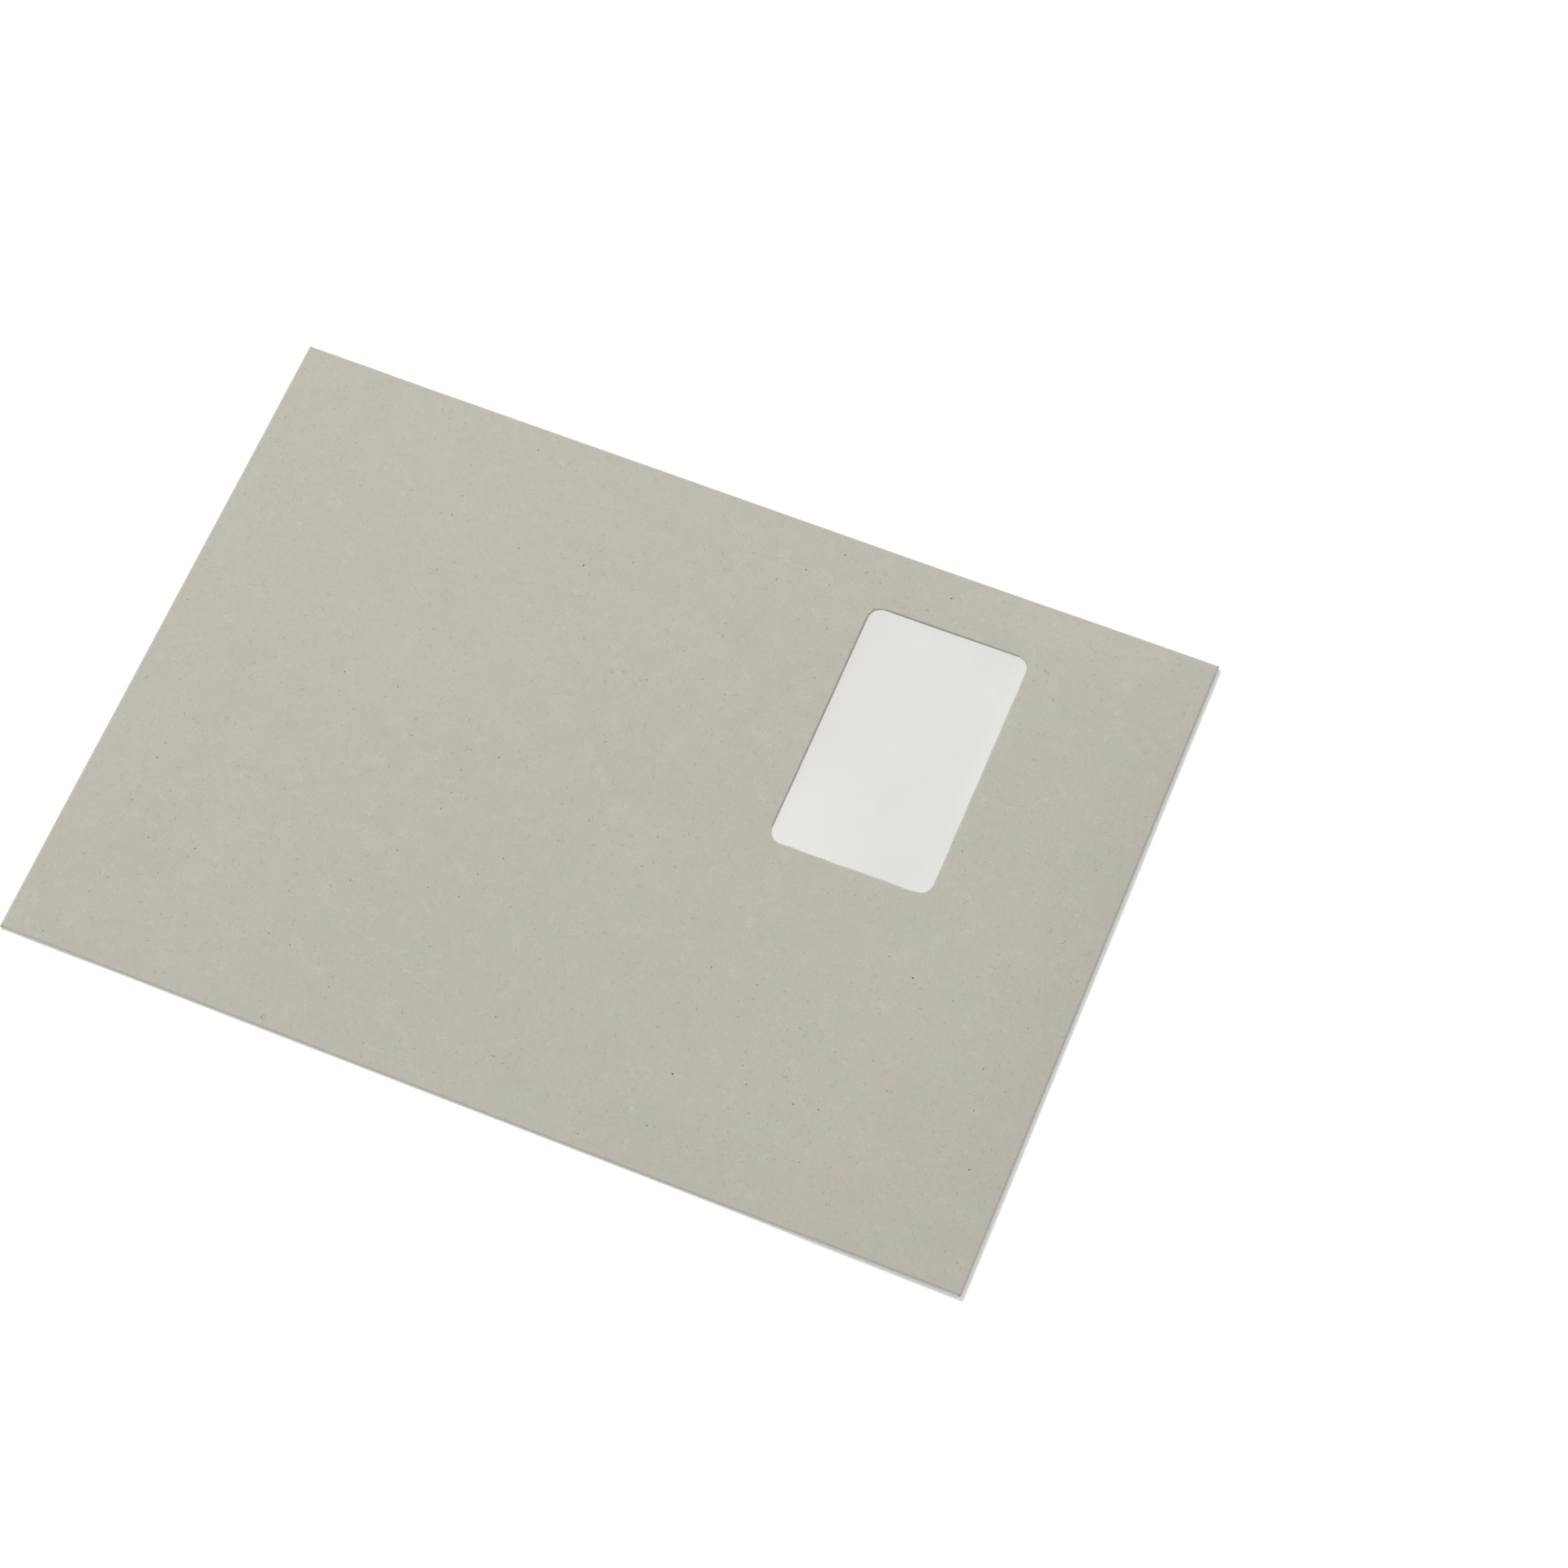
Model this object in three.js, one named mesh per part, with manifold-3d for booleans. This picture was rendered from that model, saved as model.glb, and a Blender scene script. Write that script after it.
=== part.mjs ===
// A C4 pocket envelope with an address window, empty and closed, lying face up.
//
// Sizes are millimetres. +X runs from the closed end to the mouth, +Y to the long side nearest
// the window, and +Z out of the address side. The origin is on the surface that the envelope
// lies on, under its middle.
//
// The envelope is one sheet of paper, folded along two long sides and two short ends. Each panel
// is drawn flat as an outline, and each fold is a half ring of the same paper between the levels
// of the two panels that it joins. Glue, gum and the window film are thin layers between them.

import * as THREE from "three";
import { mergeVertices } from "three/addons/utils/BufferGeometryUtils.js";
import Module from "manifold-3d";

// The folded envelope
const LENGTH = 324; // closed end to mouth
const WIDTH = 229;
const PAPER = 0.12; // one layer of 90 g/m2 recycled paper
const POCKET_GAP = 0.9; // the empty pocket, held ajar by the spring of its folds

// The window, cut in the front panel
const WINDOW_WIDTH = 55; // along the envelope
const WINDOW_LENGTH = 90; // across it
const WINDOW_CORNER = 4.5;
const WINDOW_TO_MOUTH = 57;
const WINDOW_TO_SIDE = 20.8;

// The film behind the window, and the frame of glue that holds it
const FILM = 0.03;
const FILM_MARGIN = 9; // film past the cut edge, all round
const FILM_CORNER = 1.5;
const FILM_GLUE = 0.03;
const FILM_GLUE_BAND = 5; // width of the glue frame
const FILM_GLUE_INSET = 1.5; // bare strip between the cut edge and the glue

// The side seam: a flap folded in from the front panel, glued to the inside of the back panel
const SIDE_FLAP_DEPTH = 20.8;
const SIDE_FLAP_SLANT = 12; // how far its ends slope back towards its free edge
const SEAM_GLUE = 0.05;
const SEAM_GLUE_BAND = 10;
const SEAM_EDGE = 1; // the back panel stops this far inside the long side

// The bottom flap at the closed end, glued to the outside of the back panel
const BOTTOM_FLAP_DEPTH = 20.4;
const BOTTOM_FLAP_SLANT = 20.4; // its ends slope back by this much on each side
const BOTTOM_FLAP_CORNER = 9;
const BOTTOM_GLUE_BAND = 10;

// The seal flap at the mouth, folded under the back panel
const SEAL_FLAP_DEPTH = 45;
const SEAL_FLAP_TAPER = 20; // how much narrower its outer edge is, on each side
const SEAL_FLAP_CORNER = 7.5;

// The two bands of self-seal gum that meet when the flap is closed
const GUM = 0.05;
const FLAP_GUM_BAND = 22.8;
const FLAP_GUM_TO_MOUTH = 15.8;
const FLAP_GUM_LENGTH = 170;
const FLAP_GUM_CENTRE = -2.5; // the bands sit a little away from the seam side
const POCKET_GUM_BAND = 25.6;
const POCKET_GUM_TO_MOUTH = 14.6;
const POCKET_GUM_LENGTH = 170;
const POCKET_GUM_CENTRE = -4.5;
const BAND_CORNER = 1; // rounding of the ends of every band of glue or gum

// The throat: the back panel's cut edge at the mouth, a shallow V between two rounded shoulders
const THROAT_DEPTH = 7.5; // at mid-width
const THROAT_SHOULDER = 3.3; // at the folded side
const THROAT_SHOULDER_RUN = 9;
const THROAT_SEAM_DEPTH = 5; // where the seam flap begins
const BOTTOM_EDGE = 1; // the back panel stops this far inside the closed end's fold

const ARC_STEPS = 8;

// Levels, from the surface up
const FLAPS_TOP = PAPER;
const GUM_MIDDLE = FLAPS_TOP + GUM;
const BACK_BOTTOM = GUM_MIDDLE + GUM;
const BACK_TOP = BACK_BOTTOM + PAPER;
const SIDE_FLAP_BOTTOM = BACK_TOP + SEAM_GLUE;
const SIDE_FLAP_TOP = SIDE_FLAP_BOTTOM + PAPER;
const FRONT_BOTTOM = SIDE_FLAP_TOP + POCKET_GAP;
const FRONT_TOP = FRONT_BOTTOM + PAPER;
const FILM_TOP = FRONT_BOTTOM - FILM_GLUE;
const FILM_BOTTOM = FILM_TOP - FILM;

// Outer radii of the folds, and the lines where the flat panels meet them
const END_RADIUS = FRONT_TOP / 2;
const FOLDED_SIDE_RADIUS = (FRONT_TOP - BACK_BOTTOM) / 2;
const SEAM_SIDE_RADIUS = (FRONT_TOP - SIDE_FLAP_BOTTOM) / 2;
const MOUTH = LENGTH / 2;
const MOUTH_LINE = MOUTH - END_RADIUS;
const FOLDED_SIDE = -WIDTH / 2;
const FOLDED_SIDE_LINE = FOLDED_SIDE + FOLDED_SIDE_RADIUS;
const SEAM_SIDE = WIDTH / 2;
const SEAM_SIDE_LINE = SEAM_SIDE - SEAM_SIDE_RADIUS;

const WINDOW_CENTRE_X = MOUTH - WINDOW_TO_MOUTH - WINDOW_WIDTH / 2;
const WINDOW_CENTRE_Y = SEAM_SIDE - WINDOW_TO_SIDE - WINDOW_LENGTH / 2;

const PAPER_GREY = { color: 0xbcb9ac, roughness: 0.92, metalness: 0 };
const FILM_WHITE = { color: 0xe2e1dc, roughness: 0.35, metalness: 0 };
const GLUE_WHITE = { color: 0xdedbcf, roughness: 0.5, metalness: 0 };
const GUM_CREAM = { color: 0xc9c5b6, roughness: 0.45, metalness: 0 };

const wasm = await Module();
wasm.setup();

// A rectangle with rounded corners, as a Shape or as a hole's Path.
function roundedRectangle(outline, centreX, centreY, along, across, corner) {
  const left = centreX - along / 2;
  const right = centreX + along / 2;
  const low = centreY - across / 2;
  const high = centreY + across / 2;
  outline.moveTo(left + corner, low);
  outline.lineTo(right - corner, low);
  outline.absarc(right - corner, low + corner, corner, -Math.PI / 2, 0, false);
  outline.lineTo(right, high - corner);
  outline.absarc(right - corner, high - corner, corner, 0, Math.PI / 2, false);
  outline.lineTo(left + corner, high);
  outline.absarc(left + corner, high - corner, corner, Math.PI / 2, Math.PI, false);
  outline.lineTo(left, low + corner);
  outline.absarc(left + corner, low + corner, corner, Math.PI, 1.5 * Math.PI, false);
  return outline;
}

function rectangle(left, right, low, high) {
  const outline = new THREE.Shape();
  outline.moveTo(left, low);
  outline.lineTo(right, low);
  outline.lineTo(right, high);
  outline.lineTo(left, high);
  outline.closePath();
  return outline;
}

// An outline in plan, given its thickness between two levels.
function layer(outline, bottom, top) {
  const options = { depth: top - bottom, bevelEnabled: false, curveSegments: ARC_STEPS };
  return new THREE.ExtrudeGeometry(outline, options).translate(0, 0, bottom);
}

// A fold: half a ring of paper, from the given level of its lower panel's outer face up to the
// front panel's outer face. It is drawn as a section that bulges towards +X, and runs along Z.
function foldRing(bottom, length) {
  const radius = (FRONT_TOP - bottom) / 2;
  const middle = bottom + radius;
  const section = new THREE.Shape();
  section.moveTo(0, middle - radius);
  section.absarc(0, middle, radius, -Math.PI / 2, Math.PI / 2, false);
  section.lineTo(0, middle + radius - PAPER);
  section.absarc(0, middle, radius - PAPER, Math.PI / 2, -Math.PI / 2, true);
  section.closePath();
  const options = { depth: length, bevelEnabled: false, curveSegments: ARC_STEPS };
  return new THREE.ExtrudeGeometry(section, options);
}

// Sets a fold's ring at the line where the flat panels end, bulging the given way. Its run
// starts at the given corner of that line.
function placeFold(ring, bulge, corner) {
  const up = new THREE.Vector3(0, 0, 1);
  const run = new THREE.Vector3().crossVectors(bulge, up);
  const basis = new THREE.Matrix4().makeBasis(bulge, up, run);
  return ring.applyMatrix4(basis).translate(corner.x, corner.y, 0);
}

function solidOf(geometry) {
  const bare = geometry.clone();
  bare.deleteAttribute("normal");
  bare.deleteAttribute("uv");
  const merged = mergeVertices(bare);
  const vertProperties = new Float32Array(merged.attributes.position.array);
  const triVerts = new Uint32Array(merged.index.array);
  return new wasm.Manifold(new wasm.Mesh({ numProp: 3, vertProperties, triVerts }));
}

function geometryOf(solid) {
  const mesh = solid.getMesh();
  const geometry = new THREE.BufferGeometry();
  geometry.setAttribute("position", new THREE.BufferAttribute(mesh.vertProperties, 3));
  geometry.setIndex(new THREE.BufferAttribute(mesh.triVerts, 1));
  geometry.computeVertexNormals();
  return geometry;
}

function frontPanel() {
  const outline = rectangle(-MOUTH_LINE, MOUTH_LINE, FOLDED_SIDE_LINE, SEAM_SIDE_LINE);
  const cutOut = roundedRectangle(
    new THREE.Path(),
    WINDOW_CENTRE_X,
    WINDOW_CENTRE_Y,
    WINDOW_WIDTH,
    WINDOW_LENGTH,
    WINDOW_CORNER,
  );
  outline.holes.push(cutOut);
  return layer(outline, FRONT_BOTTOM, FRONT_TOP);
}

// The back panel runs from the folded side to just inside the seam side, and its mouth edge is
// the throat.
function backPanel() {
  const closedEdge = -MOUTH_LINE + BOTTOM_EDGE;
  const freeEdge = SEAM_SIDE - SEAM_EDGE;
  const seamStart = SEAM_SIDE - SIDE_FLAP_DEPTH;
  const outline = new THREE.Shape();
  outline.moveTo(closedEdge, FOLDED_SIDE_LINE);
  outline.lineTo(MOUTH_LINE, FOLDED_SIDE_LINE);
  outline.quadraticCurveTo(
    MOUTH - THROAT_SHOULDER,
    FOLDED_SIDE + THROAT_SHOULDER,
    MOUTH - THROAT_SHOULDER,
    FOLDED_SIDE + THROAT_SHOULDER_RUN,
  );
  outline.lineTo(MOUTH - THROAT_DEPTH, 0);
  outline.lineTo(MOUTH - THROAT_SEAM_DEPTH, seamStart);
  outline.lineTo(MOUTH_LINE, freeEdge);
  outline.lineTo(closedEdge, freeEdge);
  outline.closePath();
  return layer(outline, BACK_BOTTOM, BACK_TOP);
}

// The seam flap lies inside the pocket, on the back panel, with its ends sloped back.
function sideFlap() {
  const freeEdge = SEAM_SIDE - SIDE_FLAP_DEPTH;
  const closedEnd = -MOUTH_LINE + BOTTOM_EDGE;
  const mouthEnd = MOUTH - THROAT_SEAM_DEPTH;
  const outline = new THREE.Shape();
  outline.moveTo(closedEnd, SEAM_SIDE_LINE);
  outline.lineTo(closedEnd + SIDE_FLAP_SLANT, freeEdge);
  outline.lineTo(mouthEnd - SIDE_FLAP_SLANT, freeEdge);
  outline.lineTo(mouthEnd, SEAM_SIDE_LINE);
  outline.closePath();
  return layer(outline, SIDE_FLAP_BOTTOM, SIDE_FLAP_TOP);
}

// An end flap in plan: as wide as the envelope at its fold, narrowing to its free edge between
// two rounded corners. It is drawn for the mouth, and mirrored for the closed end.
function endFlapOutline(depth, taper, corner) {
  const freeEdge = MOUTH - depth;
  const halfWidth = WIDTH / 2;
  const slope = Math.atan2(taper, depth - END_RADIUS);
  const halfFree = halfWidth - taper;
  const trim = corner * Math.tan((Math.PI / 2 - slope) / 2);
  const centre = new THREE.Vector2(freeEdge + corner, halfFree - trim);
  const outline = new THREE.Shape();
  outline.moveTo(MOUTH_LINE, -halfWidth);
  outline.lineTo(MOUTH_LINE, halfWidth);
  outline.absarc(centre.x, centre.y, corner, Math.PI / 2 + slope, Math.PI, false);
  outline.absarc(centre.x, -centre.y, corner, Math.PI, 1.5 * Math.PI - slope, false);
  outline.closePath();
  return outline;
}

function mirroredAcrossMiddle(outline) {
  const points = outline.getPoints(ARC_STEPS);
  const mirrored = points.map((point) => new THREE.Vector2(-point.x, point.y));
  return new THREE.Shape(mirrored.reverse());
}

function sealFlap() {
  const outline = endFlapOutline(SEAL_FLAP_DEPTH, SEAL_FLAP_TAPER, SEAL_FLAP_CORNER);
  return layer(outline, 0, FLAPS_TOP);
}

function bottomFlap() {
  const outline = endFlapOutline(BOTTOM_FLAP_DEPTH, BOTTOM_FLAP_SLANT, BOTTOM_FLAP_CORNER);
  return layer(mirroredAcrossMiddle(outline), 0, FLAPS_TOP);
}

function folds() {
  const sideLength = 2 * MOUTH_LINE;
  const toMouth = new THREE.Vector3(1, 0, 0);
  const toClosedEnd = new THREE.Vector3(-1, 0, 0);
  const toFoldedSide = new THREE.Vector3(0, -1, 0);
  const toSeamSide = new THREE.Vector3(0, 1, 0);
  return [
    placeFold(foldRing(0, WIDTH), toMouth, new THREE.Vector2(MOUTH_LINE, WIDTH / 2)),
    placeFold(foldRing(0, WIDTH), toClosedEnd, new THREE.Vector2(-MOUTH_LINE, -WIDTH / 2)),
    placeFold(
      foldRing(BACK_BOTTOM, sideLength),
      toFoldedSide,
      new THREE.Vector2(MOUTH_LINE, FOLDED_SIDE_LINE),
    ),
    placeFold(
      foldRing(SIDE_FLAP_BOTTOM, sideLength),
      toSeamSide,
      new THREE.Vector2(-MOUTH_LINE, SEAM_SIDE_LINE),
    ),
  ];
}

function envelopeBlank() {
  const panels = [frontPanel(), backPanel(), sideFlap(), sealFlap(), bottomFlap()];
  const [first, ...others] = [...panels, ...folds()].map(solidOf);
  return geometryOf(others.reduce((joined, next) => joined.add(next), first));
}

function windowFilm() {
  const width = WINDOW_WIDTH + 2 * FILM_MARGIN;
  const length = WINDOW_LENGTH + 2 * FILM_MARGIN;
  const outline = roundedRectangle(
    new THREE.Shape(),
    WINDOW_CENTRE_X,
    WINDOW_CENTRE_Y,
    width,
    length,
    FILM_CORNER,
  );
  return layer(outline, FILM_BOTTOM, FILM_TOP);
}

function windowGlue() {
  const inner = FILM_GLUE_INSET;
  const outer = FILM_GLUE_INSET + FILM_GLUE_BAND;
  const ring = (outline, offset) =>
    roundedRectangle(
      outline,
      WINDOW_CENTRE_X,
      WINDOW_CENTRE_Y,
      WINDOW_WIDTH + 2 * offset,
      WINDOW_LENGTH + 2 * offset,
      WINDOW_CORNER + offset,
    );
  const outline = ring(new THREE.Shape(), outer);
  outline.holes.push(ring(new THREE.Path(), inner));
  return layer(outline, FILM_TOP, FRONT_BOTTOM);
}

// A straight band of glue or gum, with small round corners.
function band(left, right, low, high, bottom, top) {
  const outline = roundedRectangle(
    new THREE.Shape(),
    (left + right) / 2,
    (low + high) / 2,
    right - left,
    high - low,
    BAND_CORNER,
  );
  return layer(outline, bottom, top);
}

function sideSeamGlue() {
  const middle = SEAM_SIDE - SIDE_FLAP_DEPTH / 2;
  const low = middle - SEAM_GLUE_BAND / 2;
  const high = middle + SEAM_GLUE_BAND / 2;
  const closedEnd = -MOUTH_LINE + BOTTOM_EDGE + SIDE_FLAP_SLANT;
  const mouthEnd = MOUTH - THROAT_SEAM_DEPTH - SIDE_FLAP_SLANT;
  return band(closedEnd, mouthEnd, low, high, BACK_TOP, SIDE_FLAP_BOTTOM);
}

function bottomFlapGlue() {
  const middle = -MOUTH + BOTTOM_FLAP_DEPTH / 2;
  const left = middle - BOTTOM_GLUE_BAND / 2;
  const right = middle + BOTTOM_GLUE_BAND / 2;
  const reach = WIDTH / 2 - BOTTOM_FLAP_SLANT;
  return band(left, right, -reach, reach, FLAPS_TOP, BACK_BOTTOM);
}

function flapGum() {
  const right = MOUTH - FLAP_GUM_TO_MOUTH;
  const low = FLAP_GUM_CENTRE - FLAP_GUM_LENGTH / 2;
  const high = FLAP_GUM_CENTRE + FLAP_GUM_LENGTH / 2;
  return band(right - FLAP_GUM_BAND, right, low, high, FLAPS_TOP, GUM_MIDDLE);
}

function pocketGum() {
  const right = MOUTH - POCKET_GUM_TO_MOUTH;
  const low = POCKET_GUM_CENTRE - POCKET_GUM_LENGTH / 2;
  const high = POCKET_GUM_CENTRE + POCKET_GUM_LENGTH / 2;
  return band(right - POCKET_GUM_BAND, right, low, high, GUM_MIDDLE, BACK_BOTTOM);
}

function piece(name, geometry, finish) {
  const mesh = new THREE.Mesh(geometry, new THREE.MeshStandardMaterial(finish));
  mesh.name = name;
  return mesh;
}

const envelope = new THREE.Group();
envelope.add(
  piece("envelope_blank", envelopeBlank(), PAPER_GREY),
  piece("window_film", windowFilm(), FILM_WHITE),
  piece("window_glue", windowGlue(), GLUE_WHITE),
  piece("side_seam_glue", sideSeamGlue(), GLUE_WHITE),
  piece("bottom_flap_glue", bottomFlapGlue(), GLUE_WHITE),
  piece("flap_gum_band", flapGum(), GUM_CREAM),
  piece("pocket_gum_band", pocketGum(), GUM_CREAM),
);

export default envelope;
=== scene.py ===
"""Looks of the window envelope: recycled paper, glassine window, gum and glue, on a white floor.

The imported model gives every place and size. The paper, its glue and its gum are copies of the
solids, cut into a fine net and given the gentle relief of an empty envelope. The window film is
modelled afresh in its own place. Lengths are metres, and MM turns millimetres into them.
"""

import logging
import math
from dataclasses import dataclass, field
from enum import Enum
from typing import TypeAlias

import bpy
import numpy as np
from mathutils import Matrix, Vector


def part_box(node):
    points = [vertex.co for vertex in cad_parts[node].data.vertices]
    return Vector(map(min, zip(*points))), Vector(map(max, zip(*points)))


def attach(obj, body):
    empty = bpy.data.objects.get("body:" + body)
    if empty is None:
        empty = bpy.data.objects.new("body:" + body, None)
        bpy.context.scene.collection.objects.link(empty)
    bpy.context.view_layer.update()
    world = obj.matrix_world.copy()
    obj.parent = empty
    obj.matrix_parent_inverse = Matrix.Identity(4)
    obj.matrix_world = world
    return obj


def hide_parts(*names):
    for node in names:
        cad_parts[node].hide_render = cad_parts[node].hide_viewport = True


MM = 0.001
ROOT = "root"
MERGE_DISTANCE = 0.002 * MM
WHITE = (1.0, 1.0, 1.0, 1.0)
LOG = logging.getLogger("window_envelope")

Pair: TypeAlias = tuple[float, float]
Triple: TypeAlias = tuple[float, float, float]
Quad: TypeAlias = tuple[float, float, float, float]
Colour: TypeAlias = Quad
Socket: TypeAlias = bpy.types.NodeSocket
Source: TypeAlias = Socket | float | Triple | Colour

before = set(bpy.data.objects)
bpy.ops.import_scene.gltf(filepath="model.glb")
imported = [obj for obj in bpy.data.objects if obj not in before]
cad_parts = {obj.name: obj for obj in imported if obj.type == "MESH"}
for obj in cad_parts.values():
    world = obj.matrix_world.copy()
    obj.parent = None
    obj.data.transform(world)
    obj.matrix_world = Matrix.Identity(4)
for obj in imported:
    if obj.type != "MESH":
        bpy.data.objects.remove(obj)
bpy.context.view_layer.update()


class Slot(Enum):
    """The record's material slots."""

    PAPER = "paper"
    FILM = "film"
    GLUE = "glue"
    GUM = "gum"


def linear(red: int, green: int, blue: int) -> Colour:
    """Turns a colour of 0 to 255 steps, as seen on a screen, into the linear one of a shader.

    Args:
        red: Red step.
        green: Green step.
        blue: Blue step.

    Returns:
        The linear colour with full alpha.
    """
    def channel(step: int) -> float:
        """Gives one channel's linear value."""
        value = step / 255
        return value / 12.92 if value <= 0.04045 else ((value + 0.055) / 1.055) ** 2.4

    return channel(red), channel(green), channel(blue), 1.0


def grey(level: float) -> Colour:
    """Gives the neutral colour of one linear level."""
    return level, level, level, 1.0


def smooth_step(value: np.ndarray, low: float, high: float) -> np.ndarray:
    """Rises smoothly from 0 at low to 1 at high.

    Args:
        value: Where to read the step.
        low: The start of the rise.
        high: The end of the rise, which may lie below low.

    Returns:
        The step's height at each value.
    """
    share = np.clip((value - low) / (high - low), 0.0, 1.0)
    return share * share * (3.0 - 2.0 * share)


@dataclass(frozen=True)
class Places:
    """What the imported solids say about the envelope's levels and its window."""

    low: Vector = field(default_factory=lambda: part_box("envelope_blank")[0])
    high: Vector = field(default_factory=lambda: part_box("envelope_blank")[1])
    film_low: Vector = field(default_factory=lambda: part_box("window_film")[0])
    film_high: Vector = field(default_factory=lambda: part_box("window_film")[1])
    front_inside: float = field(default_factory=lambda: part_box("window_glue")[1].z)
    seam_top: float = field(default_factory=lambda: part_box("side_seam_glue")[1].z)
    film_margin: float = 9 * MM

    @property
    def paper(self) -> float:
        """The thickness of one layer of paper."""
        return self.high.z - self.front_inside

    @property
    def pocket_floor(self) -> float:
        """The level of the seam flap's upper face, where the pocket's free height starts."""
        return self.seam_top + self.paper

    @property
    def window(self) -> Quad:
        """The cut-out's left, right, low and high edges."""
        return (
            self.film_low.x + self.film_margin,
            self.film_high.x - self.film_margin,
            self.film_low.y + self.film_margin,
            self.film_high.y - self.film_margin,
        )


@dataclass(frozen=True)
class Relief:
    """The gentle relief of an empty envelope that lies on a table.

    Every layer follows the same lift and waves, so that no two layers meet. The front panel also
    settles towards the back one between the folds, and swells near the mouth. Each wave is a
    height, its lengths along X and Y and its phase. Each wave of the cut edges is a share of the
    waver, its rate and its phase.
    """

    places: Places
    mouth_lift: float = 0.45 * MM
    mouth_lift_run: float = 110 * MM
    seal_flap_reach: float = 47 * MM
    bottom_flap_reach: float = 22.5 * MM
    body_sag: float = 0.2 * MM
    body_sag_run: float = 16 * MM
    settle: float = 0.74 * MM
    mouth_swell: float = 1.25 * MM
    swell_rise: float = 25 * MM
    swell_fall: float = 120 * MM
    swell_side_run: float = 62 * MM
    waves: tuple[Quad, ...] = (
        (0.09 * MM, 0.0, 92 * MM, 0.4),
        (0.07 * MM, 210 * MM, 131 * MM, 2.1),
        (0.06 * MM, 148 * MM, -96 * MM, 4.4),
        (0.03 * MM, 61 * MM, 173 * MM, 1.2),
    )
    lip_lift: float = 0.12 * MM
    lip_run: float = 7 * MM
    lip_fade: float = 30 * MM
    lip_overlap: float = 1 * MM
    cut_waver: float = 0.16 * MM
    cut_waver_step: float = 11 * MM
    cut_reach: float = 1.2 * MM
    low_cut_waves: tuple[Triple, ...] = ((0.625, 1.0, 0.0), (0.375, 2.3, 1.0))
    right_cut_waves: tuple[Triple, ...] = ((0.4, 0.7, 0.5),)

    def common(self, x: np.ndarray, y: np.ndarray) -> np.ndarray:
        """Gives the lift that all layers share.

        Between its two end flaps the body sags to the floor, and never below it.

        Args:
            x: Places along the envelope.
            y: Places across it.

        Returns:
            The lift at each place.
        """
        mouth, closed = self.places.high.x, self.places.low.x
        lift = self.mouth_lift * smooth_step(x, mouth - self.mouth_lift_run, mouth)
        off_seal_flap = mouth - self.seal_flap_reach - x
        off_bottom_flap = x - closed - self.bottom_flap_reach
        off_flaps = np.minimum(off_seal_flap, off_bottom_flap)
        lift = lift - self.body_sag * smooth_step(off_flaps, 0.0, self.body_sag_run)
        for height, length_x, length_y, phase in self.waves:
            turn_x = 2 * math.pi * x / length_x if length_x else 0.0
            turn_y = 2 * math.pi * y / length_y if length_y else 0.0
            lift = lift + height * (1 + np.sin(turn_x + turn_y + phase)) / 2
        return lift

    def swell(self, x: np.ndarray, y: np.ndarray) -> np.ndarray:
        """Gives how far the front panel stands off its flat level.

        The empty pocket settles all over and bulges near the mouth, where the panel falls in a
        curve to the fold.

        Args:
            x: Places along the envelope.
            y: Places across it.

        Returns:
            The extra height at each place, which is negative where the pocket has settled.
        """
        low, high = self.places.low, self.places.high
        to_side = np.clip(np.minimum(y - low.y, high.y - y) / self.swell_side_run, 0.0, 1.0)
        to_mouth = np.clip((high.x - x) / self.swell_rise, 0.0, 1.0)
        rise = 1 - (1 - to_mouth) ** 2
        fall = smooth_step(x, high.x - self.swell_fall, high.x - self.swell_rise)
        return self.mouth_swell * rise * fall * (1 - (1 - to_side) ** 2) - self.settle

    def lip(self, x: np.ndarray, y: np.ndarray) -> np.ndarray:
        """Gives the lift of the paper's cut lip on the window's left and upper edges.

        Args:
            x: Places along the envelope.
            y: Places across it.

        Returns:
            The lift at each place, which fades away from those two edges.
        """
        left, right, low, high = self.places.window
        off_left = np.abs(np.minimum(x - left, 0.0))
        off_high = np.abs(np.maximum(y - high, 0.0))
        along_left = smooth_step(y, low, low + self.lip_fade)
        along_left = along_left * smooth_step(y, high + self.lip_run, high)
        along_high = smooth_step(x, right, right - self.lip_fade)
        along_high = along_high * smooth_step(x, left - self.lip_run, left)
        from_left = np.exp(-((off_left / self.lip_run) ** 2)) * along_left
        from_high = np.exp(-((off_high / self.lip_run) ** 2)) * along_high
        from_left = from_left * (x < left + self.lip_overlap)
        from_high = from_high * (y > high - self.lip_overlap)
        return self.lip_lift * np.maximum(from_left, from_high)

    def ripple(self, along: np.ndarray, waves: tuple[Triple, ...]) -> np.ndarray:
        """Adds up the waves of one cut edge.

        Args:
            along: Places along the edge.
            waves: Share, rate and phase of each wave.

        Returns:
            How far the edge strays at each place.
        """
        turn = 2 * math.pi / self.cut_waver_step
        return sum(self.cut_waver * share * np.sin(rate * turn * along + phase)
                   for share, rate, phase in waves)

    def waver(self, points: np.ndarray) -> np.ndarray:
        """Makes the knife's cut round the window waver a little in plan.

        Args:
            points: Vertex places, one row each.

        Returns:
            The shift of each vertex along X and Y.
        """
        left, right, low, high = self.places.window
        x, y = points[:, 0], points[:, 1]
        near_low = np.exp(-(((y - low) / self.cut_reach) ** 2)) * (x > left) * (x < right)
        near_right = np.exp(-(((x - right) / self.cut_reach) ** 2)) * (y > low) * (y < high)
        shift = np.zeros((len(points), 2))
        shift[:, 0] = near_right * self.ripple(y, self.right_cut_waves)
        shift[:, 1] = near_low * self.ripple(x, self.low_cut_waves)
        return shift

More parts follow.
